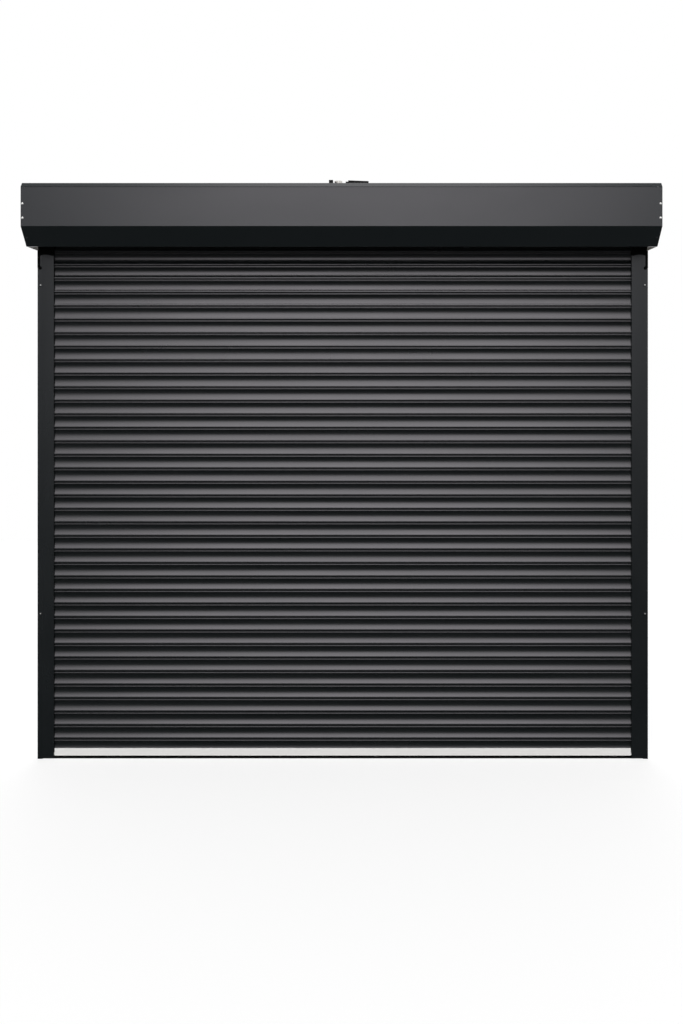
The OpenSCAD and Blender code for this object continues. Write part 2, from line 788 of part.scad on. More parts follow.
// Places of the strap screws, with the screw's axis along z
module strap_screw_places() {
    for (x = strap_x, dx = [-strap_screw_x, strap_screw_x])
        translate([x + dx, axis_y, axis_z]) rotate([strap_turn - 90, 0, 0])
            translate([0, 0, tube_af / 2 + strap_t]) children();
}
module strap_screw_holes() {
    strap_screw_places() translate([0, 0, -2 * strap_screw_l])
        cylinder(r = strap_screw_r + run_gap, h = 2 * strap_screw_l + cut_over);
}
module roller_tube() {
    color("gainsboro") difference() {
        run_x(tube_left, tube_right) difference() { octagon(tube_af); octagon(bore_af); }
        strap_screw_holes();
    }
}
// A spring strap lies on the tube's flat and ends in an eye around the top slat's bulb
module curtain_straps() {
    color("lightgray") difference() {
        for (x = strap_x) run_x(x - strap_w / 2, x + strap_w / 2) difference() {
            union() {
                translate([axis_y, axis_z]) rotate(strap_turn)
                    span(tube_af / 2, -strap_l, tube_af / 2 + strap_t, strap_tail);
                disc(top_y, top_z, eye_r);
            }
            disc(top_y, top_z, socket_r);
            span(top_y - mouth_w / 2, top_z - 2 * eye_r, top_y + mouth_w / 2, top_z);
        }
        strap_screw_holes();
    }
}
module strap_screws() {
    color("gainsboro") strap_screw_places() union() {
        cylinder(r = 2 * strap_screw_r, h = strap_screw_r);
        translate([0, 0, -strap_screw_l]) cylinder(r = strap_screw_r, h = strap_screw_l + eps);
    }
}
module drive_wheel() {
    x1 = motor_left - wheel_gap;
    ring = (plug_af / 2 + spindle_r) / 2;
    color("#2a2b2d") difference() {
        run_x(x1 - wheel_t, x1) octagon(plug_af);
        axle(x1 - wheel_t - cut_over, x1 + cut_over, spindle_r + press_gap);
        for (i = [0 : 5]) translate([x1 - wheel_t - cut_over, axis_y, axis_z]) rotate([i * 60, 0, 0])
            translate([0, ring, 0]) rotate([0, 90, 0]) cylinder(r = light_r, h = wheel_t + 2 * cut_over);
    }
}
module drive_spindle() {
    color("gainsboro")
        axle(motor_left - wheel_gap - wheel_t - spindle_tail, motor_left + spindle_in, spindle_r);
}
module limit_crown() {
    color("#2a2b2d") difference() {
        union() {
            run_x(tube_right - crown_l, tube_right) octagon(plug_af);
            axle(tube_right, tube_right + collar_t, tube_af / 2 + collar_out);
        }
        axle(tube_right - crown_l - cut_over, tube_right + collar_t + cut_over, motor_r + run_gap);
    }
}

// A slat's section: the rolled nose with its socket, the dished front, the bead, and the hooked bulb
module slat_section() {
    difference() {
        union() {
            difference() {
                intersection() {
                    union() {
                        span(nose_cut, 0, slat_t + cut_over, bead_v);
                        span(bead_u, bead_v - eps, slat_t + cut_over, shoulder);
                    }
                    disc(back_c, slat_mid, back_r);
                }
                disc(front_c, slat_mid, dish_r);
            }
            disc(nose_r, 0, nose_r);
            disc(bead_u, bead_v, bead_r);
            hook(shoulder, slat_pitch);
        }
        disc(nose_r, 0, socket_r);
        span(nose_r - mouth_w / 2, -nose_r - cut_over, nose_r + mouth_w / 2, 0);
        difference() {
            intersection() {
                span(0, nose_r + slat_skin, slat_t, bead_v - bead_r);
                disc(back_c, slat_mid, back_r - slat_skin);
            }
            disc(front_c, slat_mid, dish_r + slat_skin);
        }
    }
}
// The neck and bulb that hang in the nose above
module hook(low, high) {
    span(nose_r - neck_t / 2, low - cut_over, nose_r + neck_t / 2, high);
    disc(nose_r, high, bulb_r);
}
module slat(n) {
    color("#4a4a4c") run_x(-slat_half, slat_half) translate([slat_y, slat_z(n)]) slat_section();
}
module slat_01() { slat(1); }
module slat_pair(k) { for (n = [pair_first(k) : pair_last(k)]) slat(n); }

// An end lock closes a slat's end, with a peg in its hollow
module end_lock(n) {
    low = slat_mid - lock_h / 2;
    high = slat_mid + lock_h / 2;
    peg = lock_h / 4;
    in = slat_skin + fit_gap;
    color("#1b1c1d") translate([0, 0, slat_z(n)]) both() {
        run_x(slat_half, slat_half + lock_t) translate([slat_y, 0])
            span(front_u(slat_mid, 0) / 2, low, back_u(high, 0), high);
        run_x(slat_half - lock_peg, slat_half + eps) translate([slat_y, 0])
            span(front_u(slat_mid, in), slat_mid - peg, back_u(slat_mid + peg, in), slat_mid + peg);
    }
}
module end_locks_lower() { end_lock(1); }
module end_locks_upper() { for (n = [3 : 2 : slat_count]) end_lock(n); }

// The bottom rail: a core in the guides, a hook for the lowest slat and a face between the guides
module bottom_rail() {
    groove_low = rail_low + rail_wall;
    color("gainsboro") union() {
        run_x(-slat_half, slat_half) difference() {
            union() {
                span(core_y, rail_low, core_y + rail_core_d, hook_z);
                translate([slat_y, 0]) hook(hook_z, rail_joint);
            }
            span(groove_mid - groove_w / 2, groove_low, groove_mid + groove_w / 2, groove_low + groove_h);
            span(groove_mid - groove_mouth / 2, rail_low - cut_over,
                 groove_mid + groove_mouth / 2, groove_low + eps);
        }
        run_x(-face_half, face_half) {
            span(face_y, rail_low, face_y + rail_face_t, rail_face_top);
            span(face_y, rail_low, core_y + eps, rail_low + rail_face_t);
        }
    }
}
module bottom_seal() {
    groove_low = rail_low + rail_wall;
    seal_high = rail_low - fit_gap;
    color("#0c0c0c") run_x(-rubber_half, rubber_half) difference() {
        union() {
            span(core_y, 0, core_y + rail_core_d, seal_high);
            span(groove_mid - groove_mouth / 2 + fit_gap, seal_high - eps,
                 groove_mid + groove_mouth / 2 - fit_gap, groove_low + 2 * fit_gap);
            span(groove_mid - groove_w / 2 + fit_gap, groove_low + fit_gap,
                 groove_mid + groove_w / 2 - fit_gap, groove_low + groove_h - fit_gap);
        }
        span(core_y + seal_wall, seal_wall, core_y + rail_core_d - seal_wall, seal_high - seal_wall);
    }
}
module rail_end_plugs() {
    groove_low = rail_low + rail_wall;
    color("#1b1c1d") both() {
        run_x(slat_half, slat_half + rail_plug_t) span(core_y, rail_low, core_y + rail_core_d, hook_z);
        run_x(slat_half - rail_plug_l, slat_half + eps)
            span(groove_mid - groove_w / 2 + fit_gap, groove_low + fit_gap,
                 groove_mid + groove_w / 2 - fit_gap, groove_low + groove_h - fit_gap);
    }
}

end_plate_left();
end_plate_right();
front_panel();
top_panel();
back_panel();
panel_rivets();
guide_chamber_left();
guide_chamber_right();
guide_front_legs();
guide_rear_legs();
guide_seals();
guide_inlet_left();
guide_inlet_right();
guide_hole_plugs();
guide_foot_plugs();
soffit_bracket();
soffit_bolt();
soffit_nut();
motor_bracket();
motor_head();
motor_tube();
foot_screws();
cable_grommet();
bearing_holder();
bearing_outer_ring();
roller_tube();
drive_wheel();
drive_spindle();
limit_crown();
idler_capsule();
idler_pin();
bearing_inner_ring();
bearing_balls();
curtain_straps();
strap_screws();
bottom_rail();
bottom_seal();
rail_end_plugs();
end_locks_lower();
end_locks_upper();
slat_01();
for (k = [0 : pair_count - 1]) slat_pair(k);
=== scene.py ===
import json
import math
import bmesh
import bpy
from mathutils import Matrix, Vector


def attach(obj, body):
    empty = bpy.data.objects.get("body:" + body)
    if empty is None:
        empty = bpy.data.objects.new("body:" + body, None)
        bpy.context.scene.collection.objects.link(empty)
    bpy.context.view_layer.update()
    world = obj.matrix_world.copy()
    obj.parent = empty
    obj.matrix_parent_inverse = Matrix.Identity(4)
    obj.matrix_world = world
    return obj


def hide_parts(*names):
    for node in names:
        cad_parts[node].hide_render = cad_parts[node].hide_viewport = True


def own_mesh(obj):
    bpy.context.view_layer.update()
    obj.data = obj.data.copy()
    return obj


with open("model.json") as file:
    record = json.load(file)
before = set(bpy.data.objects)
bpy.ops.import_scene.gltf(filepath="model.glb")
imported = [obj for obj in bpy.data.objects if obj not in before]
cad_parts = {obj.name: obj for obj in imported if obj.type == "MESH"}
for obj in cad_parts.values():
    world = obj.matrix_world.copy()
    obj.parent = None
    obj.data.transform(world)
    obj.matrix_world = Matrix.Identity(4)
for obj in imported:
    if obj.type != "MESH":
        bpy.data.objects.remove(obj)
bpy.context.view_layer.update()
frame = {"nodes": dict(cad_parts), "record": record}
scene = bpy.context.scene
nodes = frame["nodes"]
mm = 0.001
print("frame loaded")


# materials

plainLook = {"metallic": 0.0, "ior": 1.5, "specular": 0.5, "tint": (1, 1, 1), "stretch": (1, 1, 1),
             "cloudScale": 9, "cloudDetail": 5, "cloudSpan": (0.3, 0.7), "vary": 0.04,
             "fineScale": 900, "fineDetail": 3, "bump": 0.1, "depth": 0.2 * mm}
looks = {
    "box_paint": {"base": (0.013, 0.0176, 0.0192), "worn": (0.0164, 0.0212, 0.0228), "rough": 0.24,
                  "specular": 0.52, "tint": (1.0, 0.948, 1.0), "stretch": (0.4, 1, 1),
                  "cloudScale": 5, "fineScale": 1400, "bump": 0.05},
    "guide_paint": {"base": (0.0044, 0.0062, 0.0068), "worn": (0.0062, 0.0084, 0.0092), "rough": 0.25,
                    "specular": 0.42, "tint": (0.97, 0.97, 1.02), "stretch": (1, 1, 0.3),
                    "cloudScale": 6, "fineScale": 1400, "bump": 0.05},
    "slat_paint": {"base": (0.0068, 0.0088, 0.0092), "worn": (0.0088, 0.011, 0.0114), "rough": 0.24,
                   "specular": 0.63, "tint": (1.0, 0.955, 1.01), "stretch": (0.25, 1, 1),
                   "cloudScale": 7, "fineScale": 1400, "bump": 0.06},
    "galvanised": {"base": (0.84, 0.81, 0.76), "worn": (0.93, 0.9, 0.85), "rough": 0.5, "vary": 0.1,
                   "cloudScale": 60, "fineScale": 700, "bump": 0.1,
                   "outside": {"from": 1.2385, "base": (0.0147, 0.0187, 0.0197), "rough": 0.26}},
    "bright_zinc": {"base": (0.64, 0.64, 0.63), "worn": (0.54, 0.54, 0.53), "rough": 0.28, "metallic": 0.85,
                    "cloudScale": 90, "fineScale": 2400, "bump": 0.08},
    "bolt_steel": {"base": (0.62, 0.6, 0.57), "worn": (0.69, 0.67, 0.64), "rough": 0.4, "metallic": 1.0,
                   "cloudScale": 70, "fineScale": 1800, "bump": 0.1},
    "black_steel": {"base": (0.006, 0.006, 0.0064), "worn": (0.011, 0.011, 0.011), "rough": 0.45,
                    "specular": 0.1, "cloudScale": 40, "fineScale": 1500, "bump": 0.2},
    "black_plastic": {"base": (0.002, 0.0022, 0.0022), "worn": (0.0036, 0.0038, 0.0038), "rough": 0.6,
                      "specular": 0.03, "cloudScale": 50, "fineScale": 1800, "bump": 0.25},
    "black_rubber": {"base": (0.0015, 0.0015, 0.0015), "worn": (0.003, 0.003, 0.003), "rough": 0.75,
                     "specular": 0.02, "cloudScale": 30, "fineScale": 900, "bump": 0.3},
    "rail_aluminium": {"base": (0.93, 0.92, 0.9), "worn": (0.85, 0.84, 0.82), "rough": 0.42,
                       "stretch": (0.1, 1, 1), "cloudScale": 25, "fineScale": 1600, "bump": 0.06},
    "roller_steel": {"base": (0.55, 0.55, 0.55), "worn": (0.44, 0.44, 0.44), "rough": 0.4, "metallic": 0.8,
                     "stretch": (0.3, 1, 1), "cloudScale": 45, "fineScale": 900, "bump": 0.1},
    "bearing_steel": {"base": (0.62, 0.62, 0.64), "worn": (0.54, 0.54, 0.56), "rough": 0.2, "metallic": 1.0,
                      "cloudScale": 80, "fineScale": 2000, "bump": 0.05},
    "grey_plastic": {"base": (0.04, 0.04, 0.044), "worn": (0.055, 0.055, 0.06), "rough": 0.5,
                     "cloudScale": 40, "fineScale": 1500, "bump": 0.2},
}


def addNode(tree, kind, values, **settings):
    node = tree.nodes.new("ShaderNode" + kind)
    for setting, value in settings.items():
        setattr(node, setting, value)
    for socket, value in values.items():
        node.inputs[socket].default_value = value
    return node


def makeMaterial(name, ownLook):
    look = {**plainLook, **ownLook}
    mat = bpy.data.materials.new(name)
    mat.use_nodes = True
    tree = mat.node_tree
    join = tree.links.new
    shader = tree.nodes["Principled BSDF"]
    for socket, key in (("Metallic", "metallic"), ("IOR", "ior"), ("Specular IOR Level", "specular")):
        shader.inputs[socket].default_value = look[key]
    shader.inputs["Specular Tint"].default_value = (*look["tint"], 1)
    coords = addNode(tree, "TexCoord", {})
    grain = addNode(tree, "Mapping", {"Scale": look["stretch"]})
    join(coords.outputs["Object"], grain.inputs["Vector"])
    # broad handling marks, and the finish itself
    cloud = addNode(tree, "TexNoise", {"Scale": look["cloudScale"], "Detail": look["cloudDetail"]})
    fine = addNode(tree, "TexNoise", {"Scale": look["fineScale"], "Detail": look["fineDetail"]})
    for noise in (cloud, fine):
        join(grain.outputs["Vector"], noise.inputs["Vector"])

    tone = addNode(tree, "Mix", {"A": (*look["base"], 1), "B": (*look["worn"], 1)}, data_type="RGBA")
    join(cloud.outputs["Fac"], tone.inputs["Factor"])
    colour = tone.outputs["Result"]
    low, high = look["cloudSpan"]
    gloss = addNode(tree, "MapRange", {"From Min": low, "To Min": look["rough"] - look["vary"],
                                       "From Max": high, "To Max": look["rough"] + look["vary"]})
    join(cloud.outputs["Fac"], gloss.inputs["Value"])
    roughness = gloss.outputs["Result"]

    if "outside" in look:  # painted on the outer side, bare on the inner one
        sides = addNode(tree, "SeparateXYZ", {})
        join(coords.outputs["Object"], sides.inputs["Vector"])
        reach = addNode(tree, "Math", {}, operation="ABSOLUTE")
        join(sides.outputs["X"], reach.inputs[0])
        past = addNode(tree, "Math", {1: look["outside"]["from"]}, operation="GREATER_THAN")
        join(reach.outputs["Value"], past.inputs[0])
        painted = addNode(tree, "Mix", {"B": (*look["outside"]["base"], 1)}, data_type="RGBA")
        smoothed = addNode(tree, "Mix", {"B": look["outside"]["rough"]})
        for mixed, bare in ((painted, colour), (smoothed, roughness)):
            join(past.outputs["Value"], mixed.inputs["Factor"])
            join(bare, mixed.inputs["A"])
        colour, roughness = painted.outputs["Result"], smoothed.outputs["Result"]
    join(colour, shader.inputs["Base Color"])
    join(roughness, shader.inputs["Roughness"])

    bump = addNode(tree, "Bump", {"Strength": look["bump"], "Distance": look["depth"]})
    join(fine.outputs["Fac"], bump.inputs["Height"])
    join(bump.outputs["Normal"], shader.inputs["Normal"])
    return mat


finish = {name: makeMaterial(name, look) for name, look in looks.items()}
slotOf = {entry["node"]: entry["material_slot"] for entry in frame["record"]["subparts"]}
for nodeName, obj in nodes.items():
    obj.data.materials.clear()
    obj.data.materials.append(finish[slotOf[nodeName]])
print("materials made")


# mesh helpers

mesh = {"join": 0.002 * mm, "copyJoin": 0.005 * mm, "sharp": 38, "copySharp": 60, "flat": 0.5, "corner": 40,
        "rounds": 2}  # joining gaps, angles in degrees, and the rounds of a broken edge
acrossX = Vector((1, 0, 0))


def trace(bm, start, moves):
    tip = bmesh.ops.create_vert(bm, co=(0, *start))["vert"][0]
    for move in moves:
        if move[0] == "line":
            tip = bmesh.ops.extrude_vert_indiv(bm, verts=[tip])["verts"][0]
            tip.co = (0, *move[1])
        else:
            centre, turn, steps = move[1:]
            swept = bmesh.ops.spin(bm, geom=[tip], cent=(0, *centre), axis=acrossX, angle=turn, steps=steps)
            tip = [g for g in swept["geom_last"] if isinstance(g, bmesh.types.BMVert)][0]
    bmesh.ops.remove_doubles(bm, verts=bm.verts, dist=mesh["join"])
    bmesh.ops.holes_fill(bm, edges=bm.edges, sides=0)


def runAcross(bm, half):
    bmesh.ops.translate(bm, verts=bm.verts, vec=-acrossX * half)
    grown = bmesh.ops.extrude_face_region(bm, geom=bm.faces[:])
    moved = [g for g in grown["geom"] if isinstance(g, bmesh.types.BMVert)]
    bmesh.ops.translate(bm, verts=moved, vec=acrossX * 2 * half)


def turned(profile, steps):
    bm = bmesh.new()
    tip = bmesh.ops.create_vert(bm, co=(profile[0][0], 0, profile[0][1]))["vert"][0]
    for radius, height in profile[1:]:
        tip = bmesh.ops.extrude_vert_indiv(bm, verts=[tip])["verts"][0]
        tip.co = (radius, 0, height)
    bmesh.ops.spin(bm, geom=bm.verts[:] + bm.edges[:], cent=(0, 0, 0), axis=(0, 0, 1), angle=2 * math.pi,
                   steps=steps, use_merge=True)
    bmesh.ops.remove_doubles(bm, verts=bm.verts, dist=mesh["join"])
    return bm


def addTo(bm, other):
    data = bpy.data.meshes.new("part")
    other.to_mesh(data)
    other.free()
    bm.from_mesh(data)
    bpy.data.meshes.remove(data)


def addTurned(bm, profile, steps, place, tilt):
    one = turned([(radius * mm, height * mm) for radius, height in profile], steps)  # profiles are in mm
    turn = Matrix.Rotation(math.radians(tilt), 4, "X")
    bmesh.ops.transform(one, matrix=Matrix.Translation(place) @ turn, verts=one.verts)
    addTo(bm, one)


def makePiece(bm, name, slotName, body, node, sharp=mesh["sharp"]):
    bmesh.ops.remove_doubles(bm, verts=bm.verts, dist=mesh["join"])
    bmesh.ops.recalc_face_normals(bm, faces=bm.faces)
    for face in bm.faces:
        face.smooth = True
    for edge in bm.edges:
        edge.smooth = len(edge.link_faces) == 2 and edge.calc_face_angle() < math.radians(sharp)
    data = bpy.data.meshes.new(name)
    bm.to_mesh(data)
    bm.free()
    data.materials.append(finish[slotName])
    obj = bpy.data.objects.new(name, data)
    scene.collection.objects.link(obj)
    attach(obj, body)
    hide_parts(node)
    return obj


def evenShade(obj):
    even = obj.modifiers.new("even", "WEIGHTED_NORMAL")  # flats stay flat beside their small radii
    even.keep_sharp = True
    return obj


def softened(name, node, body, width):
    bm = bmesh.new()
    bm.from_mesh(nodes[node].data)  # a merged copy, so that its edges can be broken
    bmesh.ops.remove_doubles(bm, verts=bm.verts, dist=mesh["copyJoin"])
    bmesh.ops.dissolve_limit(bm, angle_limit=math.radians(mesh["flat"]), verts=bm.verts, edges=bm.edges)
    cornerAngle = math.radians(mesh["corner"])
    corners = [e for e in bm.edges if len(e.link_faces) == 2 and e.calc_face_angle() > cornerAngle]
    bmesh.ops.bevel(bm, geom=corners, offset=width * mm, segments=mesh["rounds"], profile=0.5,
                    affect="EDGES", clamp_overlap=True, material=-1)
    return evenShade(makePiece(bm, name, slotOf[node], body, node, mesh["copySharp"]))


# curtain

slat = {"front": 97.7 * mm, "half": 1212 * mm, "pitch": 55 * mm, "first": 29 * mm, "nose": 6 * mm,
        "socket": 3.3 * mm, "mouth": 2.4 * mm, "cut": 0.3 * mm, "dish": (-39.3 * mm, 24 * mm, 45 * mm),
        "bead": (2.35 * mm, 44 * mm, 2.2 * mm), "shoulder": 46 * mm, "neck": 1.2 * mm, "bulb": 2.9 * mm,
        "back": (-46 * mm, 24 * mm, 60 * mm), "count": 39,
        "steps": {"nose": 9, "dish": 28, "bead": 10, "bulb": 12, "back": 20, "socket": 12}}
curtainEdges = {"endLocksUpper": ("end_locks_upper", 0.4), "endLocksLower": ("end_locks_lower", 0.4),
                "bottomRail": ("bottom_rail", 0.4), "bottomSeal": ("bottom_seal", 0.8),
                "railEndPlugs": ("rail_end_plugs", 0.4)}  # the node, and its broken edge in mm


def meet(one, two, side):
    gap = Vector((two[0] - one[0], two[1] - one[1]))
    along = (gap.length_squared + one[2] ** 2 - two[2] ** 2) / (2 * gap.length)
    off = math.sqrt(one[2] ** 2 - along ** 2)
    way = gap.normalized()
    return Vector(one[:2]) + way * along + Vector((-way.y, way.x)) * off * side


def bearing(centre, spot):
    return math.atan2(spot[1] - centre[1], spot[0] - centre[0])


def sweep(centre, start, end, clockwise):
    turn = bearing(centre, end) - bearing(centre, start)
    turn %= 2 * math.pi
    return turn - 2 * math.pi if clockwise else turn


def slatMoves(s):
    n, m, steps = s["nose"], s["mouth"], s["steps"]
    nose = (n, 0, n)
    lipFront = (n - m, -math.sqrt(n * n - m * m))
    lipBack = (n + m, lipFront[1])
    socketV = -math.sqrt(s["socket"] ** 2 - m * m)
    noseEnd = (s["cut"], math.sqrt(n * n - (n - s["cut"]) ** 2))
    dish, bead, back = s["dish"], s["bead"], s["back"]
    dishStart = (s["cut"], dish[1] - math.sqrt(dish[2] ** 2 - (s["cut"] - dish[0]) ** 2))
    dishEnd = min((meet(dish, bead, side) for side in (1, -1)), key=lambda p: p.y)
    beadEnd = (bead[0] + math.sqrt(bead[2] ** 2 - (s["shoulder"] - bead[1]) ** 2), s["shoulder"])
    bulb = (n, s["pitch"])
    bulbLow = s["pitch"] - math.sqrt(s["bulb"] ** 2 - s["neck"] ** 2)
    neckFront, neckBack = (n - s["neck"], bulbLow), (n + s["neck"], bulbLow)
    backTop = (back[0] + math.sqrt(back[2] ** 2 - (s["shoulder"] - back[1]) ** 2), s["shoulder"])
    backEnd = max((meet(back, nose, side) for side in (1, -1)), key=lambda p: p.x)
    return lipFront, [
        ("arc", nose[:2], sweep(nose, lipFront, noseEnd, True), steps["nose"]),
        ("line", dishStart),
        ("arc", dish[:2], sweep(dish, dishStart, dishEnd, False), steps["dish"]),
        ("arc", bead[:2], sweep(bead, dishEnd, beadEnd, True), steps["bead"]),
        ("line", (neckFront[0], s["shoulder"])),
        ("line", neckFront),
        ("arc", bulb, sweep(bulb, neckFront, neckBack, True), steps["bulb"]),
        ("line", (neckBack[0], s["shoulder"])),
        ("line", backTop),
        ("arc", back[:2], sweep(back, backTop, backEnd, True), steps["back"]),
        ("arc", nose[:2], sweep(nose, backEnd, lipBack, True), steps["nose"]),
        ("line", (n + m, socketV)),
        ("arc", nose[:2], sweep(nose, (n + m, socketV), (n - m, socketV), False), steps["socket"]),
        ("line", lipFront),
    ]


section = bmesh.new()
trace(section, *slatMoves(slat))
runAcross(section, slat["half"])
slatMesh = bpy.data.meshes.new("slatSection")
section.to_mesh(slatMesh)
section.free()


def slatSet(numbers):
    bm = bmesh.new()
    for number in numbers:
        before = len(bm.verts)
        bm.from_mesh(slatMesh)
        bm.verts.ensure_lookup_table()
        place = Vector((0, slat["front"], slat["first"] + (number - 1) * slat["pitch"]))
        bmesh.ops.translate(bm, verts=bm.verts[before:], vec=place)
    return bm


makePiece(slatSet([1]), "slat01", "slat_paint", "curtain", "slat_01")
for first in range(2, slat["count"] + 1, 2):
    pair = makePiece(slatSet([first, first + 1]), "slats%02d" % first, "slat_paint", "curtain",
                     "slats_%02d_%02d" % (first, first + 1))
    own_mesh(pair)
for name, (node, width) in curtainEdges.items():
    piece = softened(name, node, "curtain", width)
    if name == "endLocksUpper":  # these go up with the slats
        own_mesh(piece)
print("curtain made")


# box

box = {"half": 1240 * mm, "front": -119.3 * mm, "back": 120.7 * mm, "low": 2065 * mm, "top": 2305 * mm,
       "seam": 2288 * mm, "chamfer": 70 * mm, "bevel": 17 * mm, "lip": 20 * mm, "hem": 9 * mm,
       "sheet": 1.5 * mm, "edge": 0.375 * mm, "bend": 2.6 * mm, "bendSteps": 5, "gap": 0.2 * mm,
       "reveal": 1.5 * mm, "tongue": 12 * mm, "tongueHalf": 1218 * mm, "tongueBack": 2.5 * mm}
boxEdges = {"backPanel": ("back_panel", 0.3), "endPlateLeft": ("end_plate_left", 0.4),
            "endPlateRight": ("end_plate_right", 0.4)}


def roundMoves(corners, steps):
    count = len(corners)
    moves, start = [], None
    for i in range(count):
        p = Vector(corners[i][:2])
        toBefore = (Vector(corners[i - 1][:2]) - p).normalized()
        toAfter = (Vector(corners[(i + 1) % count][:2]) - p).normalized()
        radius = corners[i][2]
        opening = toBefore.angle(toAfter)
        enter = p + toBefore * radius / math.tan(opening / 2)
        if start is None:
            start = enter
        else:
            moves.append(("line", enter))
        middle = p + (toBefore + toAfter).normalized() * radius / math.sin(opening / 2)
        turn = math.pi - opening
        if toBefore.x * toAfter.y - toBefore.y * toAfter.x > 0:
            turn = -turn
        moves.append(("arc", middle, turn, steps))
    moves.append(("line", start))
    return start, moves


def offsetPath(path, gap):
    moved = []
    for i, p in enumerate(path):
        p = Vector(p)
        sides = []
        if i > 0:
            d = (p - Vector(path[i - 1])).normalized()
            sides.append(Vector((-d.y, d.x)))
        if i < len(path) - 1:
            d = (Vector(path[i + 1]) - p).normalized()
            sides.append(Vector((-d.y, d.x)))
        middle = (sides[0] + sides[-1]).normalized()
        moved.append(p + middle * gap / middle.dot(sides[0]))
    return moved


def sheetPiece(path, half):
    inner = offsetPath(path, box["sheet"])
    last = len(path) - 1
    corners = [(*p, box["bend"] if 0 < i < last else box["edge"]) for i, p in enumerate(path)]
    for i in range(last, -1, -1):
        corners.append((*inner[i], box["bend"] - box["sheet"] if 0 < i < last else box["edge"]))
    bm = bmesh.new()
    trace(bm, *roundMoves(corners, box["bendSteps"]))
    runAcross(bm, half)
    return bm


lipEnd = box["front"] + box["chamfer"] + box["lip"]
frontPath = [(box["front"], box["seam"] - box["reveal"]), (box["front"], box["low"] + box["chamfer"]),
             (box["front"] + box["chamfer"], box["low"]), (lipEnd, box["low"]),
             (lipEnd, box["low"] + box["hem"])]
topPath = [(box["back"], box["top"]), (box["front"] + box["bevel"], box["top"]), (box["front"], box["seam"])]
tongueY = box["front"] + box["sheet"] + box["gap"] + box["tongueBack"]
tonguePath = [(tongueY, box["seam"] + box["sheet"] + box["tongueBack"]),
              (tongueY, box["seam"] - box["tongue"])]
evenShade(makePiece(sheetPiece(frontPath, box["half"]), "frontPanel", "box_paint", "frame", "front_panel"))
evenShade(makePiece(sheetPiece(topPath, box["half"]), "topPanel", "box_paint", "frame", "top_panel"))
# painted shade: the tongue behind the seam is drawn in black plastic, so that the seam reads as a dark groove;
# the real tongue is painted sheet
makePiece(sheetPiece(tonguePath, box["tongueHalf"]), "shadedSeamTongue", "black_plastic", "frame", "top_panel")
for name, (node, width) in boxEdges.items():
    softened(name, node, "frame", width)

rivet = {"head": [(0, 0.75), (0.85, 0.75), (1.0, 1.2), (1.3, 1.38), (2.3, 1.34), (3.4, 1.1), (4.3, 0.68),
                  (4.85, 0.27), (5, 0), (2, 0), (2, -3.5), (0, -3.5)],
         "flush": [(0, 0), (1.7, 0), (2, -0.3), (2, -3.5), (0, -3.5)], "steps": 24,
         "front": [(1233.5 * mm, box["front"], 2167 * mm), (1233.5 * mm, box["front"], 2222 * mm)],
         "top": [(1233.5 * mm, -60 * mm, box["top"]), (1233.5 * mm, 60 * mm, box["top"])],
         "rear": [(1233.5 * mm, box["back"], 2125 * mm), (1233.5 * mm, box["back"], 2245 * mm)],
         "chamfer": [(1228 * mm, -78.7 * mm, 2094.4 * mm)],
         "tilt": {"front": 90, "top": 0, "rear": -90, "chamfer": 135}}
zincRivets, shadeDarkenedRivets = bmesh.new(), bmesh.new()
for side in (-1, 1):
    # the rear ones are flush, so that the box lies flat on the wall
    for row, profile, bm in (("front", "head", zincRivets), ("top", "head", zincRivets),
                             ("rear", "flush", zincRivets), ("chamfer", "head", shadeDarkenedRivets)):
        for x, y, z in rivet[row]:
            addTurned(bm, rivet[profile], rivet["steps"], (side * x, y, z), rivet["tilt"][row])
makePiece(zincRivets, "panelRivets", "bright_zinc", "frame", "panel_rivets")
# painted shade: the chamfer rivets are drawn in the dark box paint because the downward chamfer keeps them in
# shade; they are the same rivets as the bright zinc ones on the front
makePiece(shadeDarkenedRivets, "chamferRivets", "box_paint", "frame", "panel_rivets")
print("box made")


# guides

guideEdges = {"guideLeft": ("guide_chamber_left", 0.5), "guideRight": ("guide_chamber_right", 0.5),
              "guideFrontLegs": ("guide_front_legs", 0.4), "guideRearLegs": ("guide_rear_legs", 0.4),
              "guideInletLeft": ("guide_inlet_left", 0.4), "guideInletRight": ("guide_inlet_right", 0.4),
              "guideFootPlugs": ("guide_foot_plugs", 0.3)}
for name, (node, width) in guideEdges.items():
    softened(name, node, "frame", width)
plug = {"cap": [(0, 0.6), (2.25, 0.6), (2.5, 1.1), (3, 1.2), (4.6, 1.2), (5.6, 1.05), (6.2, 0.7), (6.5, 0.2),
                (6.5, 0), (4.95, 0), (4.95, -4.4), (4.4, -5), (0, -5)],
        "pin": [(0, 1.15), (1.7, 1.15), (2.2, 0.9), (2.2, 0.5), (0, 0.5)],
        "spots": [(1228 * mm, 92.7 * mm, 590 * mm), (1228 * mm, 92.7 * mm, 1925 * mm)],
        "steps": 32, "tilt": 90}
for name, part, slotName in (("guideHolePlugs", "cap", "guide_paint"),
                             ("guidePlugPins", "pin", "bright_zinc")):
    plugs = bmesh.new()
    for side in (-1, 1):
        for x, y, z in plug["spots"]:
            addTurned(plugs, plug[part], plug["steps"], (side * x, y, z), plug["tilt"])
    makePiece(plugs, name, slotName, "frame", "guide_hole_plugs")
print("guides made")


# soffit bracket

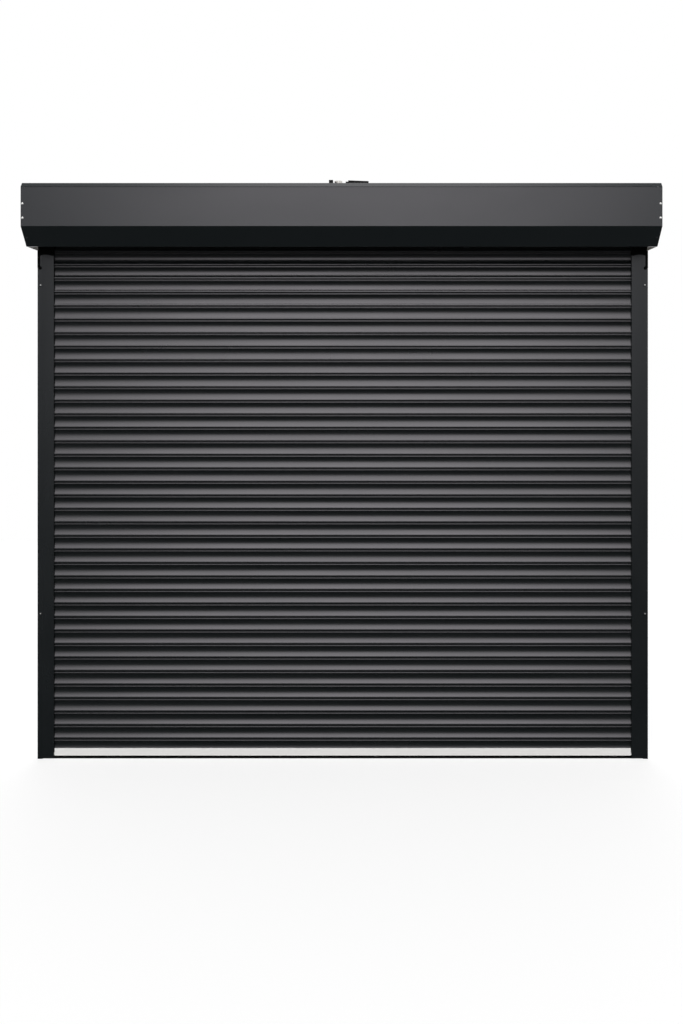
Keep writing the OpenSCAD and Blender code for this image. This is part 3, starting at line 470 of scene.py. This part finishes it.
clamp = {"x": -15 * mm, "flat": 30 * mm, "head": 20 * mm, "seat": 2310.5 * mm, "shank": 10 * mm,
         "end": 2290 * mm, "break": 0.9 * mm, "sides": 6, "steps": 32, "bracketEdge": 0.7, "nutEdge": 0.3}
softened("soffitBracket", "soffit_bracket", "frame", clamp["bracketEdge"])
bolt = bmesh.new()
corner = clamp["flat"] / 2 / math.cos(math.pi / clamp["sides"])
bmesh.ops.create_cone(bolt, cap_ends=True, segments=clamp["sides"], radius1=corner, radius2=corner,
                      depth=clamp["head"])
bmesh.ops.bevel(bolt, geom=bolt.edges[:], offset=clamp["break"], segments=mesh["rounds"], profile=0.5,
                affect="EDGES", material=-1)
bmesh.ops.translate(bolt, verts=bolt.verts, vec=(0, 0, clamp["seat"] + clamp["head"] / 2))
shankTop = clamp["seat"] + clamp["break"]
addTo(bolt, turned([(0, shankTop), (clamp["shank"], shankTop), (clamp["shank"], clamp["end"] + clamp["break"]),
                    (clamp["shank"] - clamp["break"], clamp["end"]), (0, clamp["end"])], clamp["steps"]))
bmesh.ops.translate(bolt, verts=bolt.verts, vec=(clamp["x"], 0, 0))
makePiece(bolt, "soffitBolt", "bolt_steel", "frame", "soffit_bolt")
softened("soffitNut", "soffit_nut", "frame", clamp["nutEdge"])
print("bracket made")


# camera, light and floor

view = {"lens": 37.283, "sensor": 36, "shift": (-0.0238, -0.1338), "place": (0.094, -4.2163, 1.56), "tilt": 90}
camera = bpy.data.cameras.new("camera")
camera.lens = view["lens"]
camera.sensor_width = view["sensor"]
camera.shift_x, camera.shift_y = view["shift"]
cameraObject = bpy.data.objects.new("camera", camera)
cameraObject.location = view["place"]
cameraObject.rotation_euler = (math.radians(view["tilt"]), 0, 0)
scene.collection.objects.link(cameraObject)
scene.camera = cameraObject
scene.view_settings.view_transform = "Standard"

light = {"levels": [(0.0, 0.006), (0.213, 0.008), (0.289, 0.012), (0.371, 0.022), (0.43, 0.055), (0.474, 0.16),
                    (0.5, 0.29), (0.535, 0.52), (0.57, 0.66), (0.604, 0.76), (0.655, 0.81), (0.719, 0.86),
                    (0.821, 0.95), (0.88, 1.0), (0.933, 0.76), (1.0, 0.48)],  # height from 0 to 1, brightness
         "narrowing": [(0.0, 0.55), (0.47, 0.55), (0.578, 0.85), (0.65, 0.6), (0.72, 0.5), (0.9, 0.5),
                       (0.96, 1.5), (1.0, 1.7)],  # height, and how fast it fades sideways
         "ahead": {"From Max": 0.095, "To Min": 4.0, "To Max": 0.4},
         "behind": {"From Max": 0.6, "To Min": 1.0, "To Max": 0.4},
         "sideFill": {"From Min": 0.25, "From Max": 0.6, "To Max": 0.75},
         "rearFill": {"From Min": 0.1, "From Max": 0.6, "To Max": 0.75},
         "sideBackdrop": {"From Min": 0.14, "From Max": 0.32},
         "rearBackdrop": {"From Min": 0.1, "From Max": 0.5},
         "backdropHeight": {"From Min": -0.9, "From Max": 0.2}}
world = bpy.data.worlds.new("studio")
scene.world = world
world.use_nodes = True
sky = world.node_tree
backdrop = sky.nodes["Background"]
backdrop.inputs["Color"].default_value = (1, 1, 1, 1)


def inRange(source, values, **settings):
    node = addNode(sky, "MapRange", values, **settings)
    sky.links.new(source, node.inputs["Value"])
    return node.outputs["Result"]


def combine(operation, one, two):
    node = addNode(sky, "Math", {}, operation=operation)
    sky.links.new(one, node.inputs[0])
    sky.links.new(two, node.inputs[1])
    return node.outputs["Value"]


def byHeight(stops):
    ramp = addNode(sky, "ValToRGB", {})
    sky.links.new(height, ramp.inputs["Fac"])
    while len(ramp.color_ramp.elements) < len(stops):
        ramp.color_ramp.elements.new(0.5)
    for element, (place, level) in zip(ramp.color_ramp.elements, stops):
        element.position = place
        element.color = (level, level, level, 1)
    return ramp.outputs["Color"]


coords = addNode(sky, "TexCoord", {})
way = addNode(sky, "SeparateXYZ", {})
sky.links.new(coords.outputs["Generated"], way.inputs["Vector"])
height = inRange(way.outputs["Z"], {"From Min": -1})
aside = combine("MULTIPLY", way.outputs["X"], way.outputs["X"])
narrowed = combine("MULTIPLY", aside, byHeight(light["narrowing"]))
bank = combine("MULTIPLY", byHeight(light["levels"]),  # brightest straight ahead, dark below the horizon
               inRange(narrowed, light["ahead"], interpolation_type="SMOOTHSTEP"))
bank = combine("MULTIPLY", bank, inRange(way.outputs["Y"], light["behind"]))
for fill, facing in (("sideFill", aside), ("rearFill", way.outputs["Y"])):  # soft light for ends and back
    grown = inRange(facing, light[fill], interpolation_type="SMOOTHSTEP")
    bank = combine("MAXIMUM", bank, combine("MULTIPLY", grown, height))
rays = addNode(sky, "LightPath", {})
# glossy rays find the white backdrop beside and behind, and it fades towards the floor
fading = inRange(way.outputs["Z"], light["backdropHeight"], interpolation_type="SMOOTHSTEP")
mirrored = combine("MULTIPLY", rays.outputs["Is Glossy Ray"], fading)
for side, facing in (("sideBackdrop", aside), ("rearBackdrop", way.outputs["Y"])):
    white = inRange(facing, light[side], interpolation_type="SMOOTHSTEP")
    bank = combine("MAXIMUM", bank, combine("MULTIPLY", white, mirrored))
seen = addNode(sky, "Mix", {"B": 1.0})  # a white backdrop
sky.links.new(combine("MAXIMUM", rays.outputs["Is Camera Ray"], rays.outputs["Is Transmission Ray"]),
              seen.inputs["Factor"])
sky.links.new(bank, seen.inputs["A"])
sky.links.new(seen.outputs["Result"], backdrop.inputs["Strength"])

ground = {"half": (7, 4.5, 1), "middle": (0, 1.2, 0), "tone": 0.45, "rough": 0.9, "glow": 0.62}
floorMesh = bmesh.new()
bmesh.ops.create_grid(floorMesh, x_segments=1, y_segments=1, size=1)
bmesh.ops.scale(floorMesh, verts=floorMesh.verts, vec=ground["half"])
bmesh.ops.translate(floorMesh, verts=floorMesh.verts, vec=ground["middle"])
floorData = bpy.data.meshes.new("floor")
floorMesh.to_mesh(floorData)
floorMesh.free()
floor = bpy.data.objects.new("floor", floorData)
scene.collection.objects.link(floor)
pale = bpy.data.materials.new("floor")
pale.use_nodes = True
tree = pale.node_tree
matt = tree.nodes["Principled BSDF"]
matt.inputs["Base Color"].default_value = (ground["tone"], ground["tone"], ground["tone"], 1)
matt.inputs["Roughness"].default_value = ground["rough"]
matt.inputs["Specular IOR Level"].default_value = 0.0
glow = addNode(tree, "Emission", {"Strength": ground["glow"]})
floorRays = addNode(tree, "LightPath", {})
both = addNode(tree, "AddShader", {})
tree.links.new(matt.outputs["BSDF"], both.inputs[0])
tree.links.new(glow.outputs["Emission"], both.inputs[1])
choose = addNode(tree, "MixShader", {})
tree.links.new(floorRays.outputs["Is Camera Ray"], choose.inputs[0])
tree.links.new(matt.outputs["BSDF"], choose.inputs[1])
tree.links.new(both.outputs["Shader"], choose.inputs[2])
tree.links.new(choose.outputs["Shader"], tree.nodes["Material Output"].inputs["Surface"])
floorData.materials.append(pale)
floor.visible_glossy = False  # the paint mirrors the studio's dark underside instead
print("stage made")
